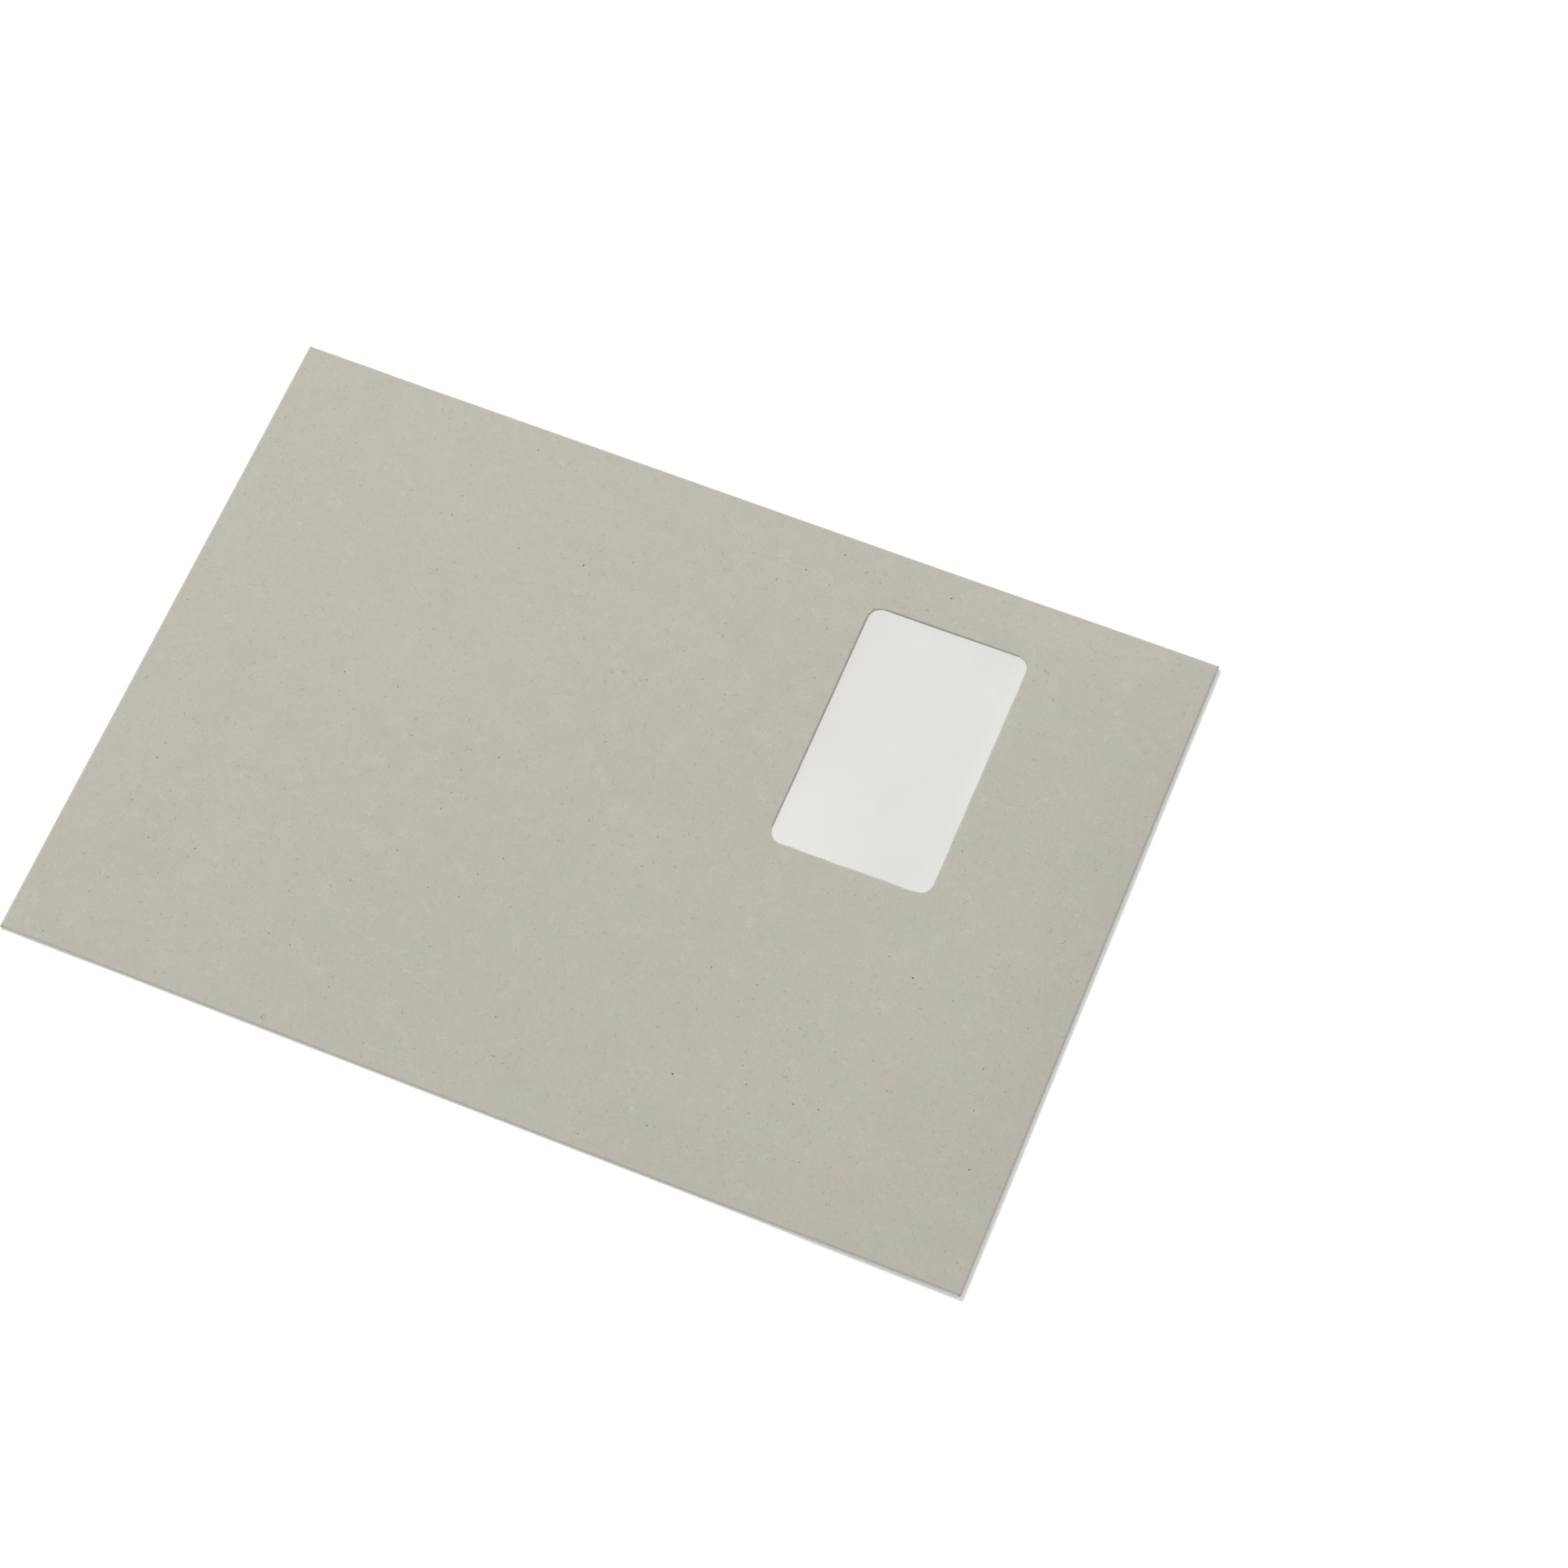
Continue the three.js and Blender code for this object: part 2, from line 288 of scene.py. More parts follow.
    def layer_share(self, z: np.ndarray) -> np.ndarray:
        """Tells how far each level belongs to the front panel rather than the back one."""
        floor, ceiling = self.places.pocket_floor, self.places.film_low.z
        return np.clip((z - floor) / (ceiling - floor), 0.0, 1.0)


def deselect_all() -> None:
    """Leaves object mode with nothing selected and nothing active."""
    if bpy.context.object is not None and bpy.context.object.mode != "OBJECT":
        bpy.ops.object.mode_set(mode="OBJECT")
    bpy.ops.object.select_all(action="DESELECT")
    bpy.context.view_layer.objects.active = None


def make_active(piece: bpy.types.Object) -> None:
    """Selects one object alone and makes it the active one.

    Args:
        piece: The object to work on.
    """
    deselect_all()
    piece.select_set(True)
    bpy.context.view_layer.objects.active = piece


def vertex_places(piece: bpy.types.Object) -> np.ndarray:
    """Reads the vertex places of a mesh object.

    Args:
        piece: The mesh object.

    Returns:
        One row for each vertex.
    """
    places = np.empty(len(piece.data.vertices) * 3)
    piece.data.vertices.foreach_get("co", places)
    return places.reshape(-1, 3)


def set_vertex_places(piece: bpy.types.Object, places: np.ndarray) -> None:
    """Writes the vertex places of a mesh object.

    Args:
        piece: The mesh object.
        places: One row for each vertex.
    """
    piece.data.vertices.foreach_set("co", places.ravel())
    piece.data.update()


def smooth_faces(piece: bpy.types.Object, angle: float) -> None:
    """Shades a piece smooth, except at edges sharper than an angle.

    Args:
        piece: The mesh object.
        angle: The sharpest angle that still shades smooth, in degrees.
    """
    make_active(piece)
    bpy.ops.object.shade_smooth_by_angle(angle=math.radians(angle))
    deselect_all()


def cut_net(piece: bpy.types.Object, step: float, extra_x: list[float],
            extra_y: list[float]) -> None:
    """Cuts a mesh along evenly spaced planes, so that its flat faces can take a relief.

    Args:
        piece: The mesh object.
        step: The spacing of the planes.
        extra_x: More places for planes across X.
        extra_y: More places for planes across Y.
    """
    places = vertex_places(piece)
    low, high = places.min(0), places.max(0)
    make_active(piece)
    bpy.ops.object.mode_set(mode="EDIT")
    for axis, extra in ((0, extra_x), (1, extra_y)):
        count = max(1, round((high[axis] - low[axis]) / step))
        even = [low[axis] + (high[axis] - low[axis]) * i / count for i in range(1, count)]
        normal = [1.0 if i == axis else 0.0 for i in range(3)]
        for place in sorted(even + [e for e in extra if low[axis] < e < high[axis]]):
            point = [place if i == axis else 0.0 for i in range(3)]
            bpy.ops.mesh.select_all(action="SELECT")
            bpy.ops.mesh.bisect(plane_co=point, plane_no=normal)
    bpy.ops.mesh.select_all(action="SELECT")
    bpy.ops.mesh.remove_doubles(threshold=MERGE_DISTANCE)
    bpy.ops.mesh.quads_convert_to_tris(quad_method="BEAUTY", ngon_method="BEAUTY")
    bpy.ops.object.mode_set(mode="OBJECT")
    deselect_all()


@dataclass
class NodeTree:
    """A short way to lay out shader nodes in a material or a group."""

    tree: bpy.types.NodeTree

    def add(self, kind: str, **settings: object) -> bpy.types.Node:
        """Adds a node and sets its properties.

        Args:
            kind: The node's type name.
            settings: Properties of the node, by name.

        Returns:
            The new node.
        """
        node = self.tree.nodes.new(kind)
        for name, value in settings.items():
            setattr(node, name, value)
        return node

    def feed(self, node: bpy.types.Node, name: str | int, source: Source) -> None:
        """Sets an input of a node to a value or links it to another node's output.

        Args:
            node: The node that receives.
            name: The input's name or number.
            source: A plain value or an output socket.
        """
        if isinstance(source, bpy.types.NodeSocket):
            self.tree.links.new(source, node.inputs[name])
        else:
            node.inputs[name].default_value = source

    def feed_all(self, node: bpy.types.Node, sources: dict[str, Source]) -> None:
        """Feeds several inputs of a node.

        Args:
            node: The node that receives.
            sources: A plain value or an output socket for each input, by name.
        """
        for name, source in sources.items():
            self.feed(node, name, source)

    def math(self, operation: str, first: Source, second: Source = 0.0,
             third: Source = 0.0) -> Socket:
        """Adds a Math node.

        Args:
            operation: The operation's name.
            first: First value or socket.
            second: Second value or socket.
            third: Third value or socket.

        Returns:
            The result's socket.
        """
        node = self.add("ShaderNodeMath", operation=operation)
        for number, source in enumerate((first, second, third)):
            self.feed(node, number, source)
        return node.outputs[0]

    def vector_math(self, operation: str, first: Source, second: Triple | Socket) -> Socket:
        """Adds a Vector Math node that gives a vector.

        Args:
            operation: The operation's name.
            first: First vector or socket.
            second: Second vector or socket.

        Returns:
            The result's socket.
        """
        node = self.add("ShaderNodeVectorMath", operation=operation)
        self.feed(node, 0, first)
        self.feed(node, 1, second)
        return node.outputs["Vector"]

    def vector_value(self, operation: str, vector: Source, other: Triple) -> Socket:
        """Adds a Vector Math node that gives a value, such as a distance.

        Args:
            operation: The operation's name.
            vector: The coordinates.
            other: The place or the direction that they are set against.

        Returns:
            The value's socket.
        """
        node = self.add("ShaderNodeVectorMath", operation=operation)
        self.feed(node, 0, vector)
        self.feed(node, 1, other)
        return node.outputs["Value"]

    def ramp(self, value: Source, low: Source, high: Source, bottom: float = 0.0,
             top: float = 1.0) -> Socket:
        """Adds a smooth Map Range from low..high to bottom..top.

        Args:
            value: The value or socket to map.
            low: Where the rise starts.
            high: Where it ends.
            bottom: The result at low.
            top: The result at high.

        Returns:
            The result's socket.
        """
        node = self.add("ShaderNodeMapRange", interpolation_type="SMOOTHSTEP")
        self.feed_all(node, {"Value": value, "From Min": low, "From Max": high, "To Min": bottom,
                             "To Max": top})
        return node.outputs["Result"]

    def noise(self, vector: Source, per_metre: Source, detail: float = 2.0, roughness: float = 0.5,
              distortion: float = 0.0) -> bpy.types.Node:
        """Adds a Noise Texture.

        Args:
            vector: The coordinates.
            per_metre: How many features fit in a metre.
            detail: Octaves.
            roughness: Share that each octave keeps.
            distortion: How far the pattern is pulled about.

        Returns:
            The node.
        """
        node = self.add("ShaderNodeTexNoise")
        self.feed_all(node, {"Vector": vector, "Scale": per_metre, "Detail": detail,
                             "Roughness": roughness, "Distortion": distortion})
        return node

    def mix(self, share: Source, first: Source, second: Source, blend: str = "MIX") -> Socket:
        """Adds a Mix node for colours, whose colour sockets share their names with others.

        Args:
            share: How much of the second colour shows.
            first: First colour or socket.
            second: Second colour or socket.
            blend: The blend type.

        Returns:
            The result's socket.
        """
        node = self.add("ShaderNodeMix", data_type="RGBA", blend_type=blend)
        share_input, first_input, second_input, colour_output = 0, 6, 7, 2
        self.feed(node, share_input, share)
        self.feed(node, first_input, first)
        self.feed(node, second_input, second)
        return node.outputs[colour_output]

    def bump(self, height: Source, strength: float, distance: float) -> Socket:
        """Adds a Bump node.

        Args:
            height: The height's socket.
            strength: How strongly it shows.
            distance: The height of one unit, in metres.

        Returns:
            The bumped normal's socket.
        """
        node = self.add("ShaderNodeBump")
        self.feed_all(node, {"Strength": strength, "Distance": distance, "Height": height})
        return node.outputs["Normal"]


@dataclass(frozen=True)
class Group:
    """A new shader node group: its tree, and the nodes that hold its inputs and outputs."""

    sheet: NodeTree
    given: bpy.types.Node
    result: bpy.types.Node


def new_group(name: str, settings: dict[str, float], outputs: tuple[str, ...]) -> Group:
    """Starts a shader node group that reads a vector and puts out values.

    Args:
        name: The group's name.
        settings: The default of each value that it also reads, by name.
        outputs: The name of each value that it puts out.

    Returns:
        The group.
    """
    tree = bpy.data.node_groups.new(name, "ShaderNodeTree")
    tree.interface.new_socket(name="Vector", in_out="INPUT", socket_type="NodeSocketVector")
    for setting, default in settings.items():
        made = tree.interface.new_socket(name=setting, in_out="INPUT",
                                         socket_type="NodeSocketFloat")
        made.default_value = default
    for output in outputs:
        tree.interface.new_socket(name=output, in_out="OUTPUT", socket_type="NodeSocketFloat")
    sheet = NodeTree(tree)
    return Group(sheet, sheet.add("NodeGroupInput"), sheet.add("NodeGroupOutput"))


def cloud_group() -> bpy.types.NodeTree:
    """Builds the soft cloudiness of pulp: broad clouds, pale patches, felt marks and a tint.

    Returns:
        The group, whose values lie round zero, apart from Patch, which runs from 0 to 1.
    """
    group = new_group("pulp_clouds", {}, ("Cloud", "Patch", "Felt", "Tint"))
    sheet, vector = group.sheet, group.given.outputs["Vector"]
    along_machine = (0.4, 1.0, 1.0)
    banded = sheet.vector_math("MULTIPLY", vector, along_machine)
    broad = sheet.noise(banded, per_metre=30.0, detail=3.0, roughness=0.55)
    middle = sheet.noise(vector, per_metre=95.0, detail=3.0, roughness=0.6)
    patch = sheet.noise(vector, per_metre=150.0, detail=6.0, roughness=0.78, distortion=0.3)
    felt = sheet.noise(vector, per_metre=620.0, detail=3.0, roughness=0.65, distortion=0.6)
    tint = sheet.noise(vector, per_metre=230.0, detail=2.0, roughness=0.6)
    drift = sheet.noise(vector, per_metre=48.0, detail=2.0, roughness=0.5)
    middle_share, drift_share, mean_noise = 0.8, 0.5, 0.5
    cloud = sheet.math("MULTIPLY_ADD", middle.outputs["Fac"], middle_share, broad.outputs["Fac"])
    drifting = sheet.math("MULTIPLY_ADD", drift.outputs["Fac"], drift_share, tint.outputs["Fac"])
    sheet.feed_all(group.result, {
        "Cloud": sheet.math("SUBTRACT", cloud, (1 + middle_share) * mean_noise),
        "Patch": sheet.ramp(patch.outputs["Fac"], 0.50, 0.66),
        "Felt": sheet.math("SUBTRACT", felt.outputs["Fac"], mean_noise),
        "Tint": sheet.math("SUBTRACT", drifting, (1 + drift_share) * mean_noise),
    })
    return sheet.tree


def fibre_group() -> bpy.types.NodeTree:
    """Builds short curly fibres: thin level lines of a noise, broken up by a second one.

    Returns:
        The group. Size is how many curls fit in a metre, Width the share of a curl that a fibre
        covers, and Share how much of the surface holds fibres.
    """
    group = new_group("curly_fibres", {"Size": 300.0, "Width": 0.012, "Share": 0.5}, ("Mask",))
    sheet, given = group.sheet, group.given.outputs
    mean_noise, breaks_to_curl = 0.5, 1.9
    curl = sheet.noise(given["Vector"], given["Size"], detail=1.0, roughness=0.4, distortion=0.5)
    off_line = sheet.math("ABSOLUTE", sheet.math("SUBTRACT", curl.outputs["Fac"], mean_noise))
    line = sheet.ramp(off_line, given["Width"], 0.0)
    break_size = sheet.math("MULTIPLY", given["Size"], breaks_to_curl)
    breaks = sheet.noise(given["Vector"], break_size, detail=1.0)
    limit = sheet.math("SUBTRACT", 1.0, given["Share"])
    kept = sheet.math("GREATER_THAN", breaks.outputs["Fac"], limit)
    sheet.feed(group.result, "Mask", sheet.math("MULTIPLY", line, kept))
    return sheet.tree


def speck_group() -> bpy.types.NodeTree:
    """Builds scattered specks of old print in the pulp, each of its own size.

    Returns:
        The group. Cells is how many cells fit in a metre, Share how many of them hold a speck,
        and Radius the largest speck's radius in metres.
    """
    group = new_group("pulp_specks", {"Cells": 80.0, "Share": 0.1, "Radius": 0.0004}, ("Mask",))
    sheet, given = group.sheet, group.given.outputs
    ragged_edge, smallest, steepness = (0.6 * MM,) * 3, 0.25, 2.2
    ragged = sheet.noise(given["Vector"], per_metre=1400.0, detail=1.0)
    pull = sheet.vector_math("MULTIPLY", ragged.outputs["Color"], ragged_edge)
    moved = sheet.vector_math("ADD", given["Vector"], pull)
    flat = sheet.vector_math("MULTIPLY", moved, (1.0, 1.0, 0.0))
    spots = sheet.add("ShaderNodeTexVoronoi", voronoi_dimensions="2D")
    sheet.feed_all(spots, {"Vector": flat, "Scale": given["Cells"]})
    lots = sheet.add("ShaderNodeSeparateColor")
    sheet.feed(lots, "Color", spots.outputs["Color"])
    chosen = sheet.math("LESS_THAN", lots.outputs["Red"], given["Share"])
    spread = sheet.math("MULTIPLY_ADD", lots.outputs["Green"], 1.0 - smallest, smallest)
    reach = sheet.math("MULTIPLY", sheet.math("MULTIPLY", given["Radius"], given["Cells"]), spread)
    spot = sheet.ramp(spots.outputs["Distance"], reach, 0.0, top=steepness)
    soft = sheet.math("MINIMUM", spot, 1.0)
    sheet.feed(group.result, "Mask", sheet.math("MULTIPLY", soft, chosen))
    return sheet.tree


@dataclass(frozen=True)
class Effects:
    """The shared node groups, built once."""

    clouds: bpy.types.NodeTree = field(default_factory=cloud_group)
    fibres: bpy.types.NodeTree = field(default_factory=fibre_group)
    specks: bpy.types.NodeTree = field(default_factory=speck_group)

    def place(self, sheet: NodeTree, group: bpy.types.NodeTree, vector: Source,
              **settings: float) -> bpy.types.Node:
        """Places a group in a material with its own values.

        Args:
            sheet: The material's tree.
            group: The group to place.
            vector: The coordinates that it reads.
            settings: Values of its other inputs, by name.

        Returns:
            The group's node.
        """
        node = sheet.add("ShaderNodeGroup")
        node.node_tree = group
        sheet.feed_all(node, {"Vector": vector, **settings})
        return node


@dataclass(frozen=True)
class Surface:
    """A new node material: its tree, its Principled shader and its Object coordinates."""

    material: bpy.types.Material
    sheet: NodeTree
    shader: bpy.types.Node
    vector: Socket


def new_surface(name: str) -> Surface:
    """Starts a node material.

    Args:
        name: The material's name.

    Returns:
        The material with what its finish needs.
    """
    material = bpy.data.materials.new(name)
    material.use_nodes = True
    sheet = NodeTree(material.node_tree)
    vector = sheet.add("ShaderNodeTexCoord").outputs["Object"]
    return Surface(material, sheet, material.node_tree.nodes["Principled BSDF"], vector)


@dataclass(frozen=True)
class FibreCoat:
    """One coat of curly fibres in the pulp, dark or light.

    The size is how many curls fit in a metre, the width the share of a curl that a fibre covers,
    the share how much of the sheet holds fibres, and the strength how much they show.
    """

    size: float
    width: float
    share: float
    strength: float
    light: bool = False
    raised: bool = False


@dataclass(frozen=True)
class SpeckCoat:
    """One coat of specks: cells in a metre, share of them filled, largest radius and strength."""

    cells: float
    share: float
    radius: float
    strength: float
    shifted: bool = False


@dataclass(frozen=True)
class RecycledPaper:
    """Matt grey recycled paper: clouds, curly fibres light and dark, and sparse dark specks."""

    effects: Effects
    colour: Colour = linear(191, 188, 177)
    warm: Colour = linear(201, 183, 174)
    green: Colour = linear(188, 190, 176)
    pale: Colour = linear(196, 195, 182)
    dark_fibre: Colour = linear(132, 129, 118)
    light_fibre: Colour = linear(212, 209, 199)
    speck: Colour = linear(74, 72, 66)
    warm_strength: float = 0.21
    green_strength: float = 0.35
    warm_run: Pair = (0.04, 0.2)
    green_run: Pair = (-0.02, -0.2)
    tint_direction: Triple = (1.0, -1.0, 0.0)
    tint_run: Pair = (-200 * MM, 200 * MM)
    tint_growth: Pair = (0.38, 1.14)
    pale_strength: float = 0.38
    cloud_depth: float = 0.055
    felt_depth: float = 0.11
    fibre_off_patch: float = 0.25
    shift: Triple = (0.37, 0.71, 0.13)
    fibres: tuple[FibreCoat, ...] = (
        FibreCoat(size=430.0, width=0.010, share=0.47, strength=0.52, raised=True),
        FibreCoat(size=760.0, width=0.014, share=0.45, strength=0.34),
        FibreCoat(size=690.0, width=0.030, share=0.60, strength=0.34, light=True),
        FibreCoat(size=380.0, width=0.018, share=0.52, strength=0.60, light=True, raised=True),
    )
    specks: tuple[SpeckCoat, ...] = (
        SpeckCoat(cells=120.0, share=0.22, radius=0.34 * MM, strength=0.72),
        SpeckCoat(cells=52.0, share=0.06, radius=0.55 * MM, strength=0.85, shifted=True),
    )
    roughness: float = 0.9
    felt_roughness: float = 0.12
    gloss: float = 0.22
    felt_height: float = 0.9
    fibre_height: float = 0.35
    bump_strength: float = 0.35
    bump_depth: float = 0.02 * MM

    def tint_strength(self, sheet: NodeTree, vector: Socket) -> Socket:
        """Lets the tints grow from one corner of the closed end to the far one of the mouth.

        Args:
            sheet: The material's tree.
            vector: The coordinates.

        Returns:
            The strength of the tints.
        """
        across = sheet.vector_value("DOT_PRODUCT", vector, self.tint_direction)
        return sheet.ramp(across, *self.tint_run, *self.tint_growth)

    def pulp(self, sheet: NodeTree, vector: Socket, clouds: bpy.types.Node) -> Socket:
        """Lays out the colour of the bare pulp, with its tints, clouds and felt marks.

        Args:
            sheet: The material's tree.
            vector: The coordinates.
            clouds: The placed cloud group.

        Returns:
            The colour.
        """
        tint, strength = clouds.outputs["Tint"], self.tint_strength(sheet, vector)
        warm_share = sheet.ramp(tint, *self.warm_run, top=self.warm_strength)
        green_share = sheet.ramp(tint, *self.green_run, top=self.green_strength)
        warm_share = sheet.math("MULTIPLY", warm_share, strength)
        green_share = sheet.math("MULTIPLY", green_share, strength)
        colour = sheet.mix(warm_share, self.colour, self.warm)
        colour = sheet.mix(green_share, colour, self.green)
        shade = sheet.math("MULTIPLY_ADD", clouds.outputs["Cloud"], self.cloud_depth, 1.0)
        shade = sheet.math("MULTIPLY_ADD", clouds.outputs["Felt"], self.felt_depth, shade)
        neutral = sheet.add("ShaderNodeCombineColor")
        sheet.feed_all(neutral, {"Red": shade, "Green": shade, "Blue": shade})
        return sheet.mix(1.0, colour, neutral.outputs["Color"], "MULTIPLY")

    def tone(self, sheet: NodeTree, vector: Socket,
             clouds: bpy.types.Node) -> tuple[Socket, Socket]:
        """Lays out the paper's colour.

        Args:
            sheet: The material's tree.
            vector: The coordinates.
            clouds: The placed cloud group.

        Returns:
            The colour, and the mask of the raised fibres.
        """
        patch = clouds.outputs["Patch"]
        pale_share = sheet.math("MULTIPLY", patch, self.pale_strength)
        colour = sheet.mix(pale_share, self.pulp(sheet, vector, clouds), self.pale)
        off_patch = self.fibre_off_patch
        near_patch = sheet.math("MULTIPLY_ADD", patch, 1.0 - off_patch, off_patch)
        shifted = sheet.vector_math("ADD", vector, self.shift)
        raised: list[Socket] = []
        for coat in self.fibres:
            place = shifted if coat.light else vector
            mask = self.effects.place(sheet, self.effects.fibres, place, Size=coat.size,
                                      Width=coat.width, Share=coat.share).outputs["Mask"]
            share = sheet.math("MULTIPLY", mask, coat.strength)
            if coat.light:
                share = sheet.math("MULTIPLY", share, near_patch)
            colour = sheet.mix(share, colour, self.light_fibre if coat.light else self.dark_fibre)
            if coat.raised:
                raised.append(mask)
        for coat in self.specks:
            place = shifted if coat.shifted else vector
            mask = self.effects.place(sheet, self.effects.specks, place, Cells=coat.cells,
                                      Share=coat.share, Radius=coat.radius).outputs["Mask"]
            colour = sheet.mix(sheet.math("MULTIPLY", mask, coat.strength), colour, self.speck)
        return colour, sheet.math("ADD", *raised)

    def build(self) -> bpy.types.Material:
        """Makes the material.

        Returns:
            The material.
        """
        surface = new_surface("recycled_paper")
        sheet, vector = surface.sheet, surface.vector
        clouds = self.effects.place(sheet, self.effects.clouds, vector)
        colour, fibres = self.tone(sheet, vector, clouds)
        felt = clouds.outputs["Felt"]
        rough = sheet.math("MULTIPLY_ADD", felt, self.felt_roughness, self.roughness)
        tooth = sheet.noise(vector, per_metre=2300.0, detail=3.0, roughness=0.6).outputs["Fac"]
        height = sheet.math("MULTIPLY_ADD", felt, self.felt_height, tooth)
        height = sheet.math("MULTIPLY_ADD", fibres, self.fibre_height, height)
        sheet.feed_all(surface.shader, {
            "Base Color": colour,
            "Roughness": sheet.math("MINIMUM", rough, 1.0),
            "Specular IOR Level": self.gloss,
            "Normal": sheet.bump(height, self.bump_strength, self.bump_depth),
        })
        return surface.material


@dataclass(frozen=True)
class Glassine:
    """Milky window film: nearly white, a little shiny, with soft clouds and a painted sheen that
    brightens one corner.
    """

    effects: Effects
    # Painted sheen: the film's colour brightens towards this corner, standing in for the lamp's
    # sheen on the film.
    painted_sheen_corner: Triple
    painted_sheen_run: Pair = (46 * MM, 4 * MM)
    pale_strength: float = 0.85
    colour: Colour = linear(228, 227, 223)
    cloud_colour: Colour = linear(225, 224, 220)
    # Colour of the pale clouds, and also of the painted sheen at the corner.
    bright_cloud_and_sheen: Colour = linear(234, 233, 229)
    cloud_strength: float = 0.35
    broad_run: Pair = (0.30, 0.72)
    cloud_run: Pair = (0.05, 0.3)
    rough_run: Pair = (0.3, 0.7)
    stretch: Triple = (1.9, 0.7, 1.0)
    gloss: float = 0.4
    roughest: float = 0.46
    smoothest: float = 0.38
    cloud_height: float = 3.0
    bump_strength: float = 0.12
    bump_depth: float = 0.01 * MM

    def build(self) -> bpy.types.Material:
        """Makes the material.

        Returns:
            The material.
        """
        surface = new_surface("glassine")
        sheet, vector = surface.sheet, surface.vector
        along = sheet.vector_math("MULTIPLY", vector, self.stretch)
        broad = sheet.noise(along, per_metre=34.0, detail=1.5, roughness=0.45, distortion=0.4)
        broad = broad.outputs["Fac"]
        colour = sheet.mix(sheet.ramp(broad, *self.broad_run), self.colour, self.cloud_colour)
        clouds = self.effects.place(sheet, self.effects.clouds, vector)
        cloud_share = sheet.ramp(clouds.outputs["Cloud"], *self.cloud_run, top=self.cloud_strength)
        colour = sheet.mix(cloud_share, colour, self.bright_cloud_and_sheen)
        # Painted sheen: the film turns brighter the nearer it lies to the window's lower left
        # corner.
        off_corner = sheet.vector_value("DISTANCE", vector, self.painted_sheen_corner)
        pale_share = sheet.ramp(off_corner, *self.painted_sheen_run, top=self.pale_strength)
        colour = sheet.mix(pale_share, colour, self.bright_cloud_and_sheen)
        grain = sheet.noise(vector, per_metre=900.0, detail=2.0).outputs["Fac"]
        height = sheet.math("MULTIPLY_ADD", broad, self.cloud_height, grain)
        sheet.feed_all(surface.shader, {
            "Base Color": colour,
            "Roughness": sheet.ramp(broad, *self.rough_run, self.smoothest, self.roughest),
            "Specular IOR Level": self.gloss,
            "Normal": sheet.bump(height, self.bump_strength, self.bump_depth),
        })
        return surface.material


@dataclass(frozen=True)
class DriedGum:
    """Self-seal latex or paste: a translucent cream skin with whitish, fibrous flecks."""

    effects: Effects
    name: str
    colour: Colour
    roughness: float = 0.42
    fleck: Colour = linear(222, 219, 208)
    fleck_strength: float = 0.6
    cloud_span: float = 0.4
    cloud_strength: float = 0.25
    felt_roughness: float = 0.3
    bump_strength: float = 0.3
    bump_depth: float = 0.02 * MM

    def build(self) -> bpy.types.Material:
        """Makes the material.

        Returns:
            The material.
        """
        surface = new_surface(self.name)
        sheet, vector = surface.sheet, surface.vector
        clouds = self.effects.place(sheet, self.effects.clouds, vector)
        flecks = self.effects.place(sheet, self.effects.fibres, vector, Size=520.0, Width=0.03,
                                    Share=0.55)
        fleck_share = sheet.math("MULTIPLY", flecks.outputs["Mask"], self.fleck_strength)
        colour = sheet.mix(fleck_share, self.colour, self.fleck)
        shade = sheet.ramp(clouds.outputs["Cloud"], -self.cloud_span, self.cloud_span,
                           top=self.cloud_strength)
        felt = clouds.outputs["Felt"]
        sheet.feed_all(surface.shader, {
            "Base Color": sheet.mix(shade, colour, self.fleck),
            "Roughness": sheet.math("MULTIPLY_ADD", felt, self.felt_roughness, self.roughness),
            "Normal": sheet.bump(felt, self.bump_strength, self.bump_depth),
        })
        return surface.material


@dataclass
class Layer:
    """One thin part of the envelope, dressed in the place of its solid."""

    node: str
    slot: Slot
    material: bpy.types.Material
    relief: Relief
    net: float = 4 * MM
    smooth_angle: float = 40.0
    piece: bpy.types.Object | None = None

    def copy_solid(self) -> bpy.types.Object:
        """Copies the solid's mesh under a new name and merges its loose triangles.

        Returns:
            The new piece.
        """
        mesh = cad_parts[self.node].data.copy()
        mesh.name = self.node + "_dressed"
        mesh.materials.clear()
        piece = bpy.data.objects.new(self.node + "_dressed", mesh)
        bpy.context.scene.collection.objects.link(piece)
        make_active(piece)
        bpy.ops.object.mode_set(mode="EDIT")
        bpy.ops.mesh.select_all(action="SELECT")
        bpy.ops.mesh.remove_doubles(threshold=MERGE_DISTANCE)
        bpy.ops.object.mode_set(mode="OBJECT")
        deselect_all()
        return piece

    def lay(self) -> None:
        """Moves every vertex with the relief of the layer that it belongs to."""
        places = vertex_places(self.piece)
        x, y, z = places[:, 0], places[:, 1], places[:, 2].copy()
        share = self.relief.layer_share(z)
        places[:, 2] = z + self.relief.common(x, y) + share * self.relief.swell(x, y)
        set_vertex_places(self.piece, places)

    def finish(self) -> bpy.types.Object:
        """Gives the piece its finish and sets it on the frame in place of its solid.

        Returns:
            The finished piece.
        """
        self.piece.data.materials.append(self.material)
        smooth_faces(self.piece, self.smooth_angle)
        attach(self.piece, ROOT)
        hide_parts(self.node)
        LOG.info("%s: %d faces", self.piece.name, len(self.piece.data.polygons))
        return self.piece

    def build(self) -> bpy.types.Object:
        """Copies, nets, lays and finishes the piece.

        Returns:
            The finished piece.
        """
        self.piece = self.copy_solid()
        cut_net(self.piece, self.net, [], [])
        self.lay()
        return self.finish()


